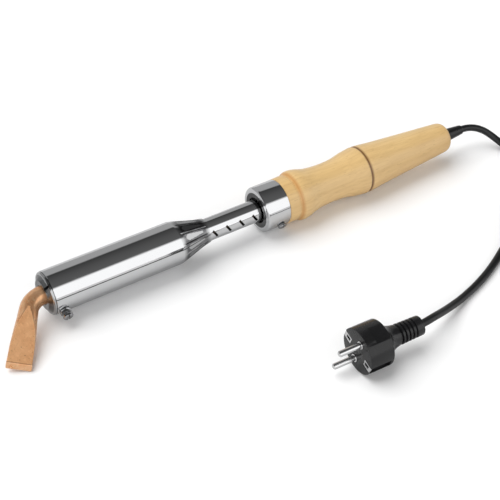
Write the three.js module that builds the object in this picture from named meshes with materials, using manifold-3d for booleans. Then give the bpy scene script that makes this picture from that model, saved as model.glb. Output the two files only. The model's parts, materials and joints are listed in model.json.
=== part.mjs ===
// A mains soldering iron with a bent copper bit, a crimped steel barrel, a vented stem and a turned
// wooden handle, with its cord wound in a tied coil beside it and a two-pin earthed plug on the end.
// Millimetres, +Z up, +X along the iron from the bit to the handle. Until the last lines every length
// along the iron is measured from the barrel's front edge, and every height from the table.

import * as THREE from "three";
import { mergeVertices } from "three/addons/utils/BufferGeometryUtils.js";
import Module from "manifold-3d";

const wasm = await Module();
wasm.setup();

// ---- driving dimensions ----------------------------------------------------------------------------

const GAP = 0.3; // clearance between pieces that touch
const RAD = Math.PI / 180;

const HANDLE_R = 21.15; // the handle's belly
const BEAD_R = 21.9; // the bead behind the ferrule, the widest part
const AXIS_Z = BEAD_R; // the iron lies on its bead with its axis level
const BARREL_R = 18;
const BARREL_END = 112; // where the crimped neck starts
const NECK_END = 142;
const BARREL_WALL = 0.8;
const NECK_FLUTES = 12;
const NECK_TURN = 137 * RAD; // a crimped pad faces this way round the axis

const BIT_R = 7.5;
const BIT_BORE_R = 7.9;
const BIT_TAIL = 97; // how far the shank reaches into the barrel
const COLLAR_REACH = 4.2; // how far the retaining ring stands out of the barrel
const SLOT_ANGLE = 122 * RAD; // the ring's two spanner slots lie at this angle and opposite
const BEND_R = 18;
const BEND_ANGLE = 56 * RAD;
const BIT_ROLL = 21 * RAD; // the bend lies over sideways until the chisel touches the table
const CHISEL_LENGTH = 49.5;
const CHISEL_WIDTH = 19.5;
const CHISEL_THICK = 4.6;
const END_SLANT = 2.8; // the chisel's end is ground back this far on its upper face

const STEM_R = 9.5;
const STEM_WALL = 0.9;
const STEM_FRONT = 108.3;
const STEM_END = 224;

const FERRULE_FRONT = 191.6;
const FERRULE_END = 213.5;
const FERRULE_R = 19.6;
const FERRULE_WALL = 1.2;

const HANDLE_FRONT = 199.6;
const HANDLE_END = 392.5;
const BORE_R = 12.4; // the wiring chamber bored into the handle
const BORE_END = 300;
const CORD_HOLE_R = 5.6;

const CORD_D = 6.2;
const SLEEVE_END = 412;
const CORD_PITCH = CORD_D + 0.1; // turns of the coil lie this far apart
const COIL_R = 5.1 * CORD_D; // the middle of the turns
const COIL_COLUMNS = 3;
const COIL_LAYERS = 2;
const COIL_CENTRE = new THREE.Vector2(393.6, -151.9);
const TIE_THICK = 0.7;
const COIL_BASE = TIE_THICK + GAP;

const PLUG_R = 18.4;
const PLUG_FACE = new THREE.Vector2(165.8, -177.2); // the middle of the plug's face, seen from above
const PLUG_HEADING = -2.3 * RAD;
const PLUG_PIN_TILT = 71.5 * RAD; // the line through both pins, up from the horizontal
const PIN_SPACING = 19;
const PIN_LENGTH = 19;
const PIN_R = 2.4;

// The free cord's route, outside the coil: x and y as above, z from the table.
const UPPER_ROUTE = [
  [412.3, 0, 21.9],
  [418.2, -0.2, 21.3],
  [423.6, -1, 20.3],
  [429.1, -2.7, 18.6],
  [434.6, -5.6, 16],
  [439, -9.5, 12.8],
  [442.7, -15, 9.2],
  [445.2, -21.4, 6.5],
  [446.5, -28.8, 4.5],
  [446, -37, 3.4],
  [443, -46.5, 3.2],
  [438, -56, 3.2],
  [430.6, -66, 3.3],
  [420.5, -76.6, 4],
  [409, -87, 5.6],
  [397.5, -97.5, 7.8],
  [386, -107.8, 9.9],
];
const LOWER_ROUTE = [
  [355, -129.4, 3.7],
  [346, -134.3, 3.2],
  [336, -139.8, 3.1],
  [324, -145.9, 3.1],
  [311.7, -151.3, 3.1],
  [300, -155.7, 3.1],
  [288.4, -159.5, 3.5],
  [277.2, -163.3, 4.9],
  [266.6, -167, 7.4],
  [256, -170.8, 10.6],
  [246, -174.3, 14],
  [237.6, -177, 16.7],
  [230, -178.8, 18.1],
  [222.9, -179.49, 18.4],
];

// ---- shapes ----------------------------------------------------------------------------------------

/** A solid of revolution about X. Its outline is a list of [x, r]; it closes on itself or on the axis. */
function revolve(outline, sides = 32) {
  const area = outline.reduce((sum, [x, r], i) => {
    const [nextX, nextR] = outline[(i + 1) % outline.length];
    return sum + x * nextR - nextX * r;
  }, 0);
  const ordered = area > 0 ? [...outline].reverse() : [...outline];
  const onAxis = ordered.some(([, r]) => r === 0);
  if (onAxis) {
    while (ordered[0][1] !== 0 || ordered[ordered.length - 1][1] !== 0) ordered.push(ordered.shift());
  } else {
    ordered.push(ordered[0]);
  }
  const points = ordered.map(([x, r]) => new THREE.Vector2(r, x));
  return new THREE.LatheGeometry(points, sides).rotateZ(-Math.PI / 2);
}

/** A plain or hollow cylinder along X. */
function rod(x0, x1, outer, inner = 0, sides = 32) {
  return revolve([[x0, inner], [x0, outer], [x1, outer], [x1, inner]], sides);
}

/** Points of a quarter round on a revolved outline, from one angle to another. */
function round(x, r, radius, from, to, steps = 4) {
  return Array.from({ length: steps + 1 }, (_, i) => {
    const angle = (from + ((to - from) * i) / steps) * RAD;
    return [x + radius * Math.cos(angle), r + radius * Math.sin(angle)];
  });
}

function box(length, width, height, x = 0, y = 0, z = 0) {
  return new THREE.BoxGeometry(length, width, height).translate(x, y, z);
}

/** A tube of round section along a curve. */
function tube(curve, radius, steps, sides = 10) {
  const section = new THREE.Shape(
    Array.from({ length: sides }, (_, i) => {
      const angle = (2 * Math.PI * i) / sides;
      return new THREE.Vector2(radius * Math.cos(angle), radius * Math.sin(angle));
    }),
  );
  return new THREE.ExtrudeGeometry(section, { steps, extrudePath: curve, bevelEnabled: false });
}

function solid(geometry) {
  const bare = geometry.index ? geometry.toNonIndexed() : geometry.clone();
  bare.deleteAttribute("normal");
  bare.deleteAttribute("uv");
  const merged = mergeVertices(bare, 1e-4);
  return new wasm.Manifold(
    new wasm.Mesh({
      numProp: 3,
      vertProperties: new Float32Array(merged.attributes.position.array),
      triVerts: new Uint32Array(merged.index.array),
    }),
  );
}

function surface(manifold) {
  const mesh = manifold.getMesh();
  const geometry = new THREE.BufferGeometry();
  geometry.setAttribute("position", new THREE.BufferAttribute(mesh.vertProperties, 3));
  geometry.setIndex(new THREE.BufferAttribute(mesh.triVerts, 1));
  return geometry;
}

function cut(geometry, ...tools) {
  return surface(tools.reduce((body, tool) => body.subtract(solid(tool)), solid(geometry)));
}

function join(geometry, ...more) {
  return surface(more.reduce((body, piece) => body.add(solid(piece)), solid(geometry)));
}

/** Turns a shape made along X so that it points straight out of the iron at an angle round its axis. */
function outward(geometry, angle, x) {
  return geometry
    .rotateY(-Math.PI / 2)
    .rotateX(angle - Math.PI / 2)
    .translate(x, 0, 0);
}

// ---- materials -------------------------------------------------------------------------------------

const metal = (color, roughness) => new THREE.MeshStandardMaterial({ color, roughness, metalness: 1 });
const matt = (color, roughness) => new THREE.MeshStandardMaterial({ color, roughness, metalness: 0 });

const COPPER = metal(0xc98a5c, 0.38);
const CHROME = metal(0xd6d8db, 0.08);
const STEEL = metal(0x8f9296, 0.35);
const BRASS = metal(0xc9a24b, 0.3);
const NICHROME = metal(0x6d6a66, 0.5);
const WOOD = matt(0xe0b878, 0.45);
const MICA = matt(0xb9a98c, 0.5);
const CERAMIC = matt(0xece7da, 0.4);
const BLACK_PLASTIC = matt(0x17181a, 0.4);
const BLACK_RUBBER = matt(0x141517, 0.6);
const INSULATION = matt(0x9a6b3c, 0.5);

/** Everything that lies along the iron's own axis. */
const iron = new THREE.Group();
iron.position.z = AXIS_Z;
const object = new THREE.Group();
object.add(iron);

function add(parent, name, geometry, material) {
  const mesh = new THREE.Mesh(geometry, material.clone());
  mesh.name = name;
  parent.add(mesh);
  return mesh;
}

// ---- the bit ---------------------------------------------------------------------------------------

/** The shank's centre line: straight out of the barrel, then round the bend, in the plane of the bend. */
class BitLine extends THREE.Curve {
  getPoint(t) {
    const straight = BIT_TAIL + COLLAR_REACH;
    const along = t * (straight + BEND_R * BEND_ANGLE);
    if (along <= straight) return new THREE.Vector3(BIT_TAIL - along, 0, 0);
    const angle = (along - straight) / BEND_R;
    return new THREE.Vector3(
      -COLLAR_REACH - BEND_R * Math.sin(angle),
      -BEND_R * (1 - Math.cos(angle)),
      0,
    );
  }
}

/** The chisel along X from the end of the bend: a flaring round bar, hammered flat above and below. */
function chisel() {
  const halfWidth = CHISEL_WIDTH / 2;
  const flare = [[-3, BIT_R - 0.5], [0, BIT_R - 0.05], [8, 7.9], [18, 8.7], [30, 9.4], [CHISEL_LENGTH, halfWidth]];
  const barEnd = CHISEL_LENGTH + 2;
  const bar = revolve([[-3, 0], ...flare, [barEnd, halfWidth], [barEnd, 0]], 24);
  const half = CHISEL_THICK / 2;
  const knee = 0.66 * CHISEL_LENGTH;
  const kneeHalf = half + 0.9;
  const side = new THREE.Shape();
  side.moveTo(-4, BIT_R + 1);
  side.lineTo(-1, BIT_R + 0.1);
  side.bezierCurveTo(12, BIT_R - 0.1, 19, kneeHalf + 0.9, knee, kneeHalf);
  side.lineTo(CHISEL_LENGTH - END_SLANT, half);
  side.lineTo(CHISEL_LENGTH, -half);
  side.lineTo(knee, -kneeHalf);
  side.bezierCurveTo(19, -kneeHalf - 0.9, 12, -BIT_R + 0.1, -1, -BIT_R - 0.1);
  side.lineTo(-4, -BIT_R - 1);
  const flats = new THREE.ExtrudeGeometry(side, { depth: 30, bevelEnabled: false, curveSegments: 5 })
    .translate(0, 0, -15)
    .rotateX(Math.PI / 2);
  return surface(solid(bar).intersect(solid(flats)));
}

function solderingBit() {
  const shank = tube(new BitLine(), BIT_R, 24, 24);
  const tip = chisel()
    .rotateZ(Math.PI + BEND_ANGLE)
    .translate(-COLLAR_REACH - BEND_R * Math.sin(BEND_ANGLE), -BEND_R * (1 - Math.cos(BEND_ANGLE)), 0);
  return join(shank, tip).rotateX(BIT_ROLL);
}

add(iron, "soldering_bit", solderingBit(), COPPER);

// ---- the barrel and the heater inside it -----------------------------------------------------------

const CLAMP_X = 6.5;
const CLAMP_ANGLE = 206 * RAD; // the clamp screw points down and to the side that the bit is bent to
const CLAMP_HOLE_R = 2.8;
const NECK_CREASE = 0.06; // how deep the creases between the pads are, as a share of the radius

/** The barrel's sheet: a straight tube whose rear is crimped down onto the stem in flutes. */
function barrelShell() {
  const neckR = STEM_R + GAP;
  const stations = [0, 0.12, 0.35, 0.6, 0.85, 1];
  const neck = (inset) =>
    stations.map((part) => {
      const ease = part * part * (3 - 2 * part) * 0.35 + part * 0.65;
      const outer = BARREL_R + (neckR + 0.6 - BARREL_R) * ease;
      return [BARREL_END + (NECK_END - BARREL_END) * part, outer - inset];
    });
  const inside = neck(BARREL_WALL).map(([x, r]) => [x, Math.max(r, neckR)]);
  const outline = [[0.5, BARREL_R], ...neck(0), ...inside.reverse(), [0.5, BARREL_R - BARREL_WALL]];
  const sheet = revolve(outline, 4 * NECK_FLUTES);
  const position = sheet.attributes.position;
  for (let i = 0; i < position.count; i++) {
    const part = (position.getX(i) - BARREL_END) / (NECK_END - BARREL_END);
    if (part <= 0.01 || part >= 0.99) continue;
    const angle = Math.atan2(position.getZ(i), position.getY(i));
    const crease = 0.5 - 0.5 * Math.cos(NECK_FLUTES * (angle - NECK_TURN));
    const scale = 1 - NECK_CREASE * crease * Math.sin(Math.PI * part);
    position.setY(i, position.getY(i) * scale);
    position.setZ(i, position.getZ(i) * scale);
  }
  return cut(sheet, outward(rod(BARREL_R - 4, BARREL_R + 4, CLAMP_HOLE_R + 0.4, 0, 16), CLAMP_ANGLE, CLAMP_X));
}

/** The slotted ring that closes the barrel's front and guides the bit. */
function retainingRing() {
  const skirtR = BARREL_R - BARREL_WALL - GAP;
  const ring = revolve([
    [-COLLAR_REACH, BIT_BORE_R],
    [-COLLAR_REACH, 12.3],
    [-COLLAR_REACH + 0.5, 12.9],
    [-1.6, 15.6],
    ...round(-0.9, 16.6, 1, 200, 90, 3),
    [0.2, 17.6],
    [0.2, skirtR],
    [13, skirtR],
    [13, BIT_BORE_R],
  ], 28);
  const slots = box(4.4, 60, 2.2, -COLLAR_REACH + 1, 0, 0).rotateX(SLOT_ANGLE);
  const middle = rod(-20, 20, 11.2, 0, 24);
  const spannerSlots = cut(slots, middle);
  const screwHole = outward(rod(BIT_BORE_R - 2, BARREL_R + 2, CLAMP_HOLE_R, 0, 16), CLAMP_ANGLE, CLAMP_X);
  return cut(ring, spannerSlots, screwHole);
}

/** A slotted screw along X: its shank starts at tip and the flat of its head ends at top. */
function slottedScrew(tip, top, shankR, headR, headHeight, slotWidth, sides = 16) {
  const screw = revolve([
    [tip, 0],
    [tip, shankR * 0.7],
    [tip + shankR * 0.4, shankR],
    [top - headHeight, shankR],
    [top - headHeight, headR],
    [top - headHeight * 0.35, headR],
    [top, headR * 0.72],
    [top, 0],
  ], sides);
  return cut(screw, box(headHeight * 0.9, headR * 3, slotWidth, top, 0, 0));
}

add(iron, "barrel_shell", barrelShell(), CHROME);
add(iron, "front_retaining_ring", retainingRing(), STEEL);
add(
  iron,
  "bit_clamp_screw",
  outward(slottedScrew(BIT_R + GAP + 0.1, BARREL_R + 7.6, 2.3, 4.1, 3, 1.1), CLAMP_ANGLE, CLAMP_X),
  STEEL,
);
add(
  iron,
  "clamp_screw_nut",
  outward(
    cut(rod(BARREL_R + GAP, BARREL_R + 3.4, 4.6, 0, 6), rod(BARREL_R - 2, BARREL_R + 6, 2.3 + GAP, 0, 16)),
    CLAMP_ANGLE,
    CLAMP_X,
  ),
  STEEL,
);

const HEATER_FRONT = 15;
const HEATER_END = 102;

/** The resistance winding over its mica, with the two tails that the leads are joined to. */
function heatingElement() {
  const turns = 10;
  const pitch = (HEATER_END - HEATER_FRONT) / turns;
  const ribs = Array.from({ length: turns }, (_, i) => {
    const x = HEATER_FRONT + i * pitch;
    return [[x + pitch * 0.2, 11.6], [x + pitch * 0.8, 11.6], [x + pitch, 10.8]];
  }).flat();
  const sleeve = revolve([[HEATER_FRONT, 10.3], [HEATER_FRONT, 10.8], ...ribs, [HEATER_END, 10.3]], 18);
  const tails = [1, -1].map((sidewise) => box(2.4, 7, 2, HEATER_END + 0.6, sidewise * 7.8, 0));
  return join(sleeve, ...tails);
}

add(iron, "core_tube", rod(13.3, 101, BIT_BORE_R + 1.1, BIT_BORE_R, 28), STEEL);
add(iron, "core_stop", rod(98, 100.5, BIT_BORE_R - GAP, 0, 24), STEEL);
add(iron, "inner_mica_sleeve", rod(HEATER_FRONT, HEATER_END - 2, 9.95, 9.3, 20), MICA);
add(iron, "heating_element", heatingElement(), NICHROME);
add(iron, "outer_mica_sleeve", rod(HEATER_FRONT, HEATER_END - 0.5, 12.6, 11.9, 20), MICA);
add(iron, "glass_fibre_wrap", rod(HEATER_FRONT, HEATER_END + 2, 16.8, 12.9, 24), CERAMIC);

/** The disc behind the heater, with a hole for each lead. */
function rearSpacer() {
  const disc = rod(105.6, 107.6, 16.8, 0, 28);
  const holes = [0, 180, 270].map((angle) => rod(104, 109, 1.9, 0, 10).translate(0, 5.5, 0).rotateX(angle * RAD));
  return cut(disc, ...holes);
}

add(iron, "rear_spacer_disc", rearSpacer(), STEEL);

// ---- the stem and its leads ------------------------------------------------------------------------

const VENT_X = 146.3;
const VENT_PITCH = 12.7;
const VENT_LENGTH = 7.4;
const VENT_SLANT = 32 * RAD;
const VENT_TURN = 7 * RAD; // the rows lie this far round the stem from its sides

/** The stem: a thin tube with a row of four slanting vents in each side. */
function stemTube() {
  const pipe = rod(STEM_FRONT, STEM_END, STEM_R, STEM_R - STEM_WALL, 32);
  const vents = [];
  for (const side of [1, -1]) {
    for (let i = 0; i < 4; i++) {
      vents.push(
        box(2, 5, VENT_LENGTH)
          .rotateY(side * VENT_SLANT)
          .translate(VENT_X + VENT_PITCH * i, side * STEM_R, 0)
          .rotateX(-VENT_TURN),
      );
    }
  }
  return cut(pipe, ...vents);
}

add(iron, "stem_tube", stemTube(), CHROME);

const LEAD_R = 1.3;
const BLOCK_X0 = 240;
const BLOCK_X1 = 262;
const POLE_Y = 3.6;

/** An insulated lead from the heater, through the stem, to its pole in the terminal block. */
function lead(sidewise) {
  const line = new THREE.CatmullRomCurve3([
    new THREE.Vector3(HEATER_END + 2.2, sidewise * 5.5, 0),
    new THREE.Vector3(112, sidewise * 5.5, 0),
    new THREE.Vector3(170, sidewise * 5, 0),
    new THREE.Vector3(222, sidewise * 4.2, 0),
    new THREE.Vector3(BLOCK_X0 - 4, sidewise * POLE_Y, 0),
    new THREE.Vector3(BLOCK_X0 + 5, sidewise * POLE_Y, 0),
  ]);
  return tube(line, LEAD_R, 14, 8);
}

add(iron, "line_lead", lead(1), INSULATION);
add(iron, "neutral_lead", lead(-1), INSULATION);

const FLANGE_X0 = 197;
const FLANGE_X1 = 199.2;

add(iron, "stem_flange", rod(FLANGE_X0, FLANGE_X1, 17.9, STEM_R + GAP, 28), STEEL);
add(iron, "stem_bush", rod(206, 222, BORE_R - GAP, STEM_R + GAP, 28), WOOD);

/** The earth lead, screwed to the bush end of the stem and led past the terminal block. */
function earthLead() {
  const line = new THREE.CatmullRomCurve3([
    new THREE.Vector3(226, 0, -7.2),
    new THREE.Vector3(236, 0, -9.4),
    new THREE.Vector3(251, 0, -10),
    new THREE.Vector3(266, 0, -8),
    new THREE.Vector3(277, 0, -2.2),
    new THREE.Vector3(283.4, 0, -1.7),
  ]);
  return tube(line, LEAD_R, 12, 8);
}

add(iron, "earth_lead", earthLead(), INSULATION);
add(
  iron,
  "earth_tag",
  rod(STEM_END + 0.3, STEM_END + 1.5, STEM_R, 6, 24),
  BRASS,
);

// ---- the ferrule -----------------------------------------------------------------------------------

const FERRULE_SCREW_X = 205.8;
const FERRULE_SCREW_ANGLES = [210 * RAD, 330 * RAD];
const FERRULE_SCREW_R = 1.7;

function ferrule() {
  const edge = 2.5;
  const cup = revolve([
    [FERRULE_FRONT, 11.3],
    ...round(FERRULE_FRONT + edge, FERRULE_R - edge, edge, 180, 90, 4),
    [FERRULE_END, FERRULE_R],
    [FERRULE_END, FERRULE_R - FERRULE_WALL],
    [FERRULE_FRONT + edge, FERRULE_R - FERRULE_WALL],
    [FERRULE_FRONT + FERRULE_WALL, FERRULE_R - edge],
    [FERRULE_FRONT + FERRULE_WALL, 11.3],
  ], 32);
  const holes = FERRULE_SCREW_ANGLES.map((angle) =>
    outward(rod(14, 24, FERRULE_SCREW_R + GAP, 0, 12), angle, FERRULE_SCREW_X),
  );
  return cut(cup, ...holes);
}

add(iron, "ferrule", ferrule(), CHROME);
FERRULE_SCREW_ANGLES.forEach((angle, i) => {
  const screw = slottedScrew(13.6, FERRULE_R + 2.7, FERRULE_SCREW_R, 3.7, 2.2, 0.9);
  add(iron, `ferrule_screw_${i + 1}`, outward(screw, angle, FERRULE_SCREW_X), STEEL);
});

// ---- the handle ------------------------------------------------------------------------------------

/** The turned outline: spigot, collar, bead, waist, belly with its scored line, and a straight taper. */
function handleOutline() {
  const spigotR = FERRULE_R - FERRULE_WALL - GAP;
  const waist = new THREE.SplineCurve([
    new THREE.Vector2(236.6, 20.9),
    new THREE.Vector2(243.5, 18.9),
    new THREE.Vector2(252, 17.7),
    new THREE.Vector2(264, 17.25),
    new THREE.Vector2(275, 17.9),
    new THREE.Vector2(285, 19.8),
    new THREE.Vector2(295.8, HANDLE_R),
  ]);
  return [
    [HANDLE_FRONT, spigotR],
    [FERRULE_END + GAP, spigotR],
    [FERRULE_END + GAP, 19.7],
    [222.6, 20],
    [224, 19.4],
    [225.4, 20.4],
    [227.4, BEAD_R - 0.3],
    [230, BEAD_R],
    [233.4, BEAD_R - 0.3],
    ...waist.getPoints(9).map((p) => [p.x, p.y]),
    [297.3, HANDLE_R - 1.1],
    [298.8, HANDLE_R - 0.1],
    [306, 20.4],
    [316, 19.3],
    [386, 13.6],
    ...round(386.7, 7.6, 5.8, 80, 10, 4),
    [HANDLE_END, 7.4],
  ];
}

function handle() {
  const blank = revolve([
    ...handleOutline(),
    [HANDLE_END, CORD_HOLE_R],
    [BORE_END, CORD_HOLE_R],
    [BORE_END, BORE_R],
    [HANDLE_FRONT, BORE_R],
  ], 32);
  const pilotHoles = FERRULE_SCREW_ANGLES.map((angle) =>
    outward(rod(11, 24, FERRULE_SCREW_R + GAP, 0, 12), angle, FERRULE_SCREW_X),
  );
  return cut(blank, ...pilotHoles);
}

add(iron, "handle", handle(), WOOD);

/** The ceramic block that joins the heater's leads to the cord, with a bore for each pole. */
function terminalBlock() {
  const block = box(BLOCK_X1 - BLOCK_X0, 15, 11, (BLOCK_X0 + BLOCK_X1) / 2, 0, 0);
  const tools = [];
  for (const side of [1, -1]) {
    tools.push(rod(BLOCK_X0 - 2, BLOCK_X1 + 2, LEAD_R + GAP, 0, 10).translate(0, side * POLE_Y, 0));
    for (const x of [BLOCK_X0 + 5, BLOCK_X1 - 5]) {
      tools.push(outward(rod(0, 12, 1.8, 0, 10), 90 * RAD, x).translate(0, side * POLE_Y, 0));
    }
  }
  return cut(block, ...tools);
}

add(iron, "terminal_block", terminalBlock(), CERAMIC);
let screwNumber = 1;
for (const side of [1, -1]) {
  for (const x of [BLOCK_X0 + 5, BLOCK_X1 - 5]) {
    const screw = cut(rod(LEAD_R + GAP, 5.2, 1.5, 0, 10), box(1.4, 6, 0.6, 5.2, 0, 0));
    add(
      iron,
      `terminal_screw_${screwNumber}`,
      outward(screw, 90 * RAD, x).translate(0, side * POLE_Y, 0),
      BRASS,
    );
    screwNumber += 1;
  }
}

const CORD_TAIL_X = 284;

/** One core of the cord, from the terminal block to where the sheath is stripped. */
function cordCore(sidewise) {
  const line = new THREE.CatmullRomCurve3([
    new THREE.Vector3(BLOCK_X1 - 5, sidewise * POLE_Y, 0),
    new THREE.Vector3(BLOCK_X1 + 4, sidewise * POLE_Y, 0),
    new THREE.Vector3(BLOCK_X1 + 12, sidewise * 2.6, 0.6),
    new THREE.Vector3(CORD_TAIL_X - 4, sidewise * 1.65, 1),
    new THREE.Vector3(CORD_TAIL_X - GAP, sidewise * 1.65, 1),
  ]);
  return tube(line, LEAD_R, 8, 8);
}

add(iron, "cord_core_line", cordCore(1), INSULATION);
add(iron, "cord_core_neutral", cordCore(-1), INSULATION);
add(iron, "cord_tail", rod(CORD_TAIL_X, SLEEVE_END, CORD_D / 2, 0, 12), BLACK_RUBBER);

/** The collar screwed onto the cord inside the handle, so that a pull never reaches the terminals. */
function cordStop() {
  const collar = rod(291, 297, 9.4, CORD_D / 2 + GAP, 20);
  return cut(collar, outward(rod(0, 12, 1.8, 0, 10), 90 * RAD, 294));
}

add(iron, "cord_stop", cordStop(), BRASS);
add(
  iron,
  "cord_stop_screw",
  outward(cut(rod(CORD_D / 2 + GAP, 9, 1.5, 0, 10), box(1.4, 6, 0.6, 9, 0, 0)), 90 * RAD, 294),
  STEEL,
);

/** The bend sleeve: a plug in the handle's end, a shoulder outside it and a tapered tail on the cord. */
function cordSleeve() {
  const inner = CORD_D / 2 + GAP;
  return revolve([
    [374, inner],
    [374, CORD_HOLE_R - GAP],
    [HANDLE_END + GAP, CORD_HOLE_R - GAP],
    [HANDLE_END + GAP, 6.2],
    [HANDLE_END + 2, 6.2],
    [HANDLE_END + 5, 5.5],
    [SLEEVE_END - 0.6, 4.2],
    [SLEEVE_END, 3.9],
    [SLEEVE_END, inner],
  ], 20);
}

add(iron, "cord_sleeve", cordSleeve(), BLACK_RUBBER);

// ---- the free cord ---------------------------------------------------------------------------------

function cordRun(route) {
  const curve = new THREE.CatmullRomCurve3(route.map((p) => new THREE.Vector3(...p)), false, "centripetal");
  return tube(curve, CORD_D / 2, Math.round(curve.getLength() / (2.2 * CORD_D)) + 4, 10);
}

/** The outer shape of the wound turns: a ring of rounded section lying on its tie. */
function coilRing() {
  const half = (COIL_COLUMNS * CORD_PITCH) / 2;
  const height = COIL_LAYERS * CORD_PITCH;
  const corner = CORD_D / 2;
  const outline = [
    ...round(COIL_BASE + corner, COIL_R + half - corner, corner, 180, 90, 2),
    ...round(COIL_BASE + height - corner, COIL_R + half - corner, corner, 90, 0, 2),
    ...round(COIL_BASE + height - corner, COIL_R - half + corner, corner, 0, -90, 2),
    ...round(COIL_BASE + corner, COIL_R - half + corner, corner, -90, -180, 2),
  ];
  return revolve(outline, 32)
    .rotateY(-Math.PI / 2)
    .translate(COIL_CENTRE.x, COIL_CENTRE.y, 0);
}

/** A band round the coil's section, on the side away from the iron. */
function coilTie() {
  const width = COIL_COLUMNS * CORD_PITCH + 4 * GAP; // room for the ring's curve inside the flat band
  const height = COIL_LAYERS * CORD_PITCH + 2 * GAP;
  const outer = box(7, width + 2 * TIE_THICK, height + 2 * TIE_THICK);
  const inner = box(9, width, height);
  const bandMiddle = height / 2 + TIE_THICK;
  return cut(outer, inner)
    .translate(0, -COIL_R, bandMiddle)
    .rotateZ(35 * RAD)
    .translate(COIL_CENTRE.x, COIL_CENTRE.y, 0);
}

add(object, "mains_cord_handle_run", cordRun(UPPER_ROUTE), BLACK_RUBBER);
add(object, "cord_coil", coilRing(), BLACK_RUBBER);
add(object, "cord_tie", coilTie(), BLACK_PLASTIC);
add(object, "mains_cord_plug_run", cordRun(LOWER_ROUTE), BLACK_RUBBER);

// ---- the plug --------------------------------------------------------------------------------------

const PLUG_BODY_END = 20.6;
const RELIEF_START = 34.5;
const RELIEF_END = 56;
const RIBS = 5;
const RIB_PITCH = 3.3;

/** The moulded plug along X from its face: round body, concave shoulder and ribbed strain relief. */
function plugBody() {
  const shoulder = new THREE.QuadraticBezierCurve(
    new THREE.Vector2(PLUG_BODY_END, PLUG_R - 0.5),
    new THREE.Vector2(PLUG_BODY_END + 3.2, 9.4),
    new THREE.Vector2(RELIEF_START, 8.2),
  );
  const ribs = Array.from({ length: RIBS }, (_, i) => {
    const x = RELIEF_START + 0.6 + i * RIB_PITCH;
    const crest = 8.3 - 0.1 * i;
    return [[x, 6.2], [x + 1, 6.2], [x + 1.3, crest], [x + 2.9, crest]];
  }).flat();
  const body = revolve([
    [0, 0],
    [0, PLUG_R - 1],
    [1, PLUG_R],
    [PLUG_BODY_END - 1, PLUG_R],
    ...shoulder.getPoints(4).map((p) => [p.x, p.y]),
    ...ribs,
    [RELIEF_END, 7.7],
    [RELIEF_END, 0],
  ], 28);
  const tools = [];
  for (const side of [1, -1]) {
    tools.push(rod(-1, 7, PIN_R + GAP, 0, 16).translate(0, (side * PIN_SPACING) / 2, 0));
    tools.push(rod(-1, 1.3, PIN_R + 1.2, 0, 16).translate(0, (side * PIN_SPACING) / 2, 0));
    // a channel in the rim for the earth clip, turned a quarter from the pins
    tools.push(box(19, 6.6, 5.2, 8.4, 0, side * (PLUG_R - 1.9)));
    // a seat in the face for the clip's hook
    tools.push(box(3, 6.2, 7.2, 0, 0, side * (PLUG_R - 3.3)));
    // a shallow finger grip beside each pin
    tools.push(box(14, 4, 17, 15.2, side * (PLUG_R + 0.6), 0));
  }
  return cut(body, ...tools);
}

/** A pin with its collar, along X: the tip points away from the plug. */
function plugPin(sidewise) {
  return revolve([
    [-PIN_LENGTH, 0],
    [-PIN_LENGTH, PIN_R - 0.9],
    [-PIN_LENGTH + 0.9, PIN_R],
    [-0.6, PIN_R],
    [-0.6, PIN_R + 0.9],
    [1, PIN_R + 0.9],
    [1, PIN_R],
    [6.6, PIN_R],
    [6.6, 0],
  ], 16).translate(0, (sidewise * PIN_SPACING) / 2, 0);
}

/** An earth clip: a sprung strip in its channel, hooked in over the plug's face, with a hole in the hook. */
function earthClip(side) {
  const strip = box(16.6, 5.4, 1, 8.2, 0, PLUG_R - 3);
  const hook = box(1.2, 5.4, 5.8, 0.5, 0, PLUG_R - 3.6);
  const hole = box(3, 2.6, 2.8, 0.5, 0, PLUG_R - 4.3);
  return cut(join(strip, hook), hole).rotateX(side > 0 ? 0 : Math.PI);
}

const plug = new THREE.Group();
plug.position.set(PLUG_FACE.x, PLUG_FACE.y, PLUG_R);
plug.rotation.z = PLUG_HEADING;
const plugTwist = new THREE.Group();
plugTwist.rotation.x = Math.PI - PLUG_PIN_TILT;
plug.add(plugTwist);
object.add(plug);

add(plugTwist, "plug_body", plugBody(), BLACK_PLASTIC);
[1, -1].forEach((side, i) => {
  add(plugTwist, `plug_pin_${i + 1}`, plugPin(side), CHROME);
  add(plugTwist, `plug_earth_clip_${i + 1}`, earthClip(side), CHROME);
});

// ---- the origin ------------------------------------------------------------------------------------

// The iron alone, without its cord, stands centred over the origin.
iron.updateMatrixWorld(true);
const footprint = new THREE.Box3().setFromObject(iron, true);
object.position.set(
  -(footprint.min.x + footprint.max.x) / 2,
  -(footprint.min.y + footprint.max.y) / 2,
  -footprint.min.z,
);

export default object;
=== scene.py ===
"""Looks of a mains soldering iron: copper bit, chromed barrel, stem and ferrule, turned wooden handle,
black cord wound in a tied coil, and an earthed plug. Metres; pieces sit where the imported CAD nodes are.
Shapes are written in millimetres, along the iron from the barrel's front edge, and scaled on the way in."""

import json
import math

import bmesh
import bpy
from mathutils import Matrix, Vector, noise


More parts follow.
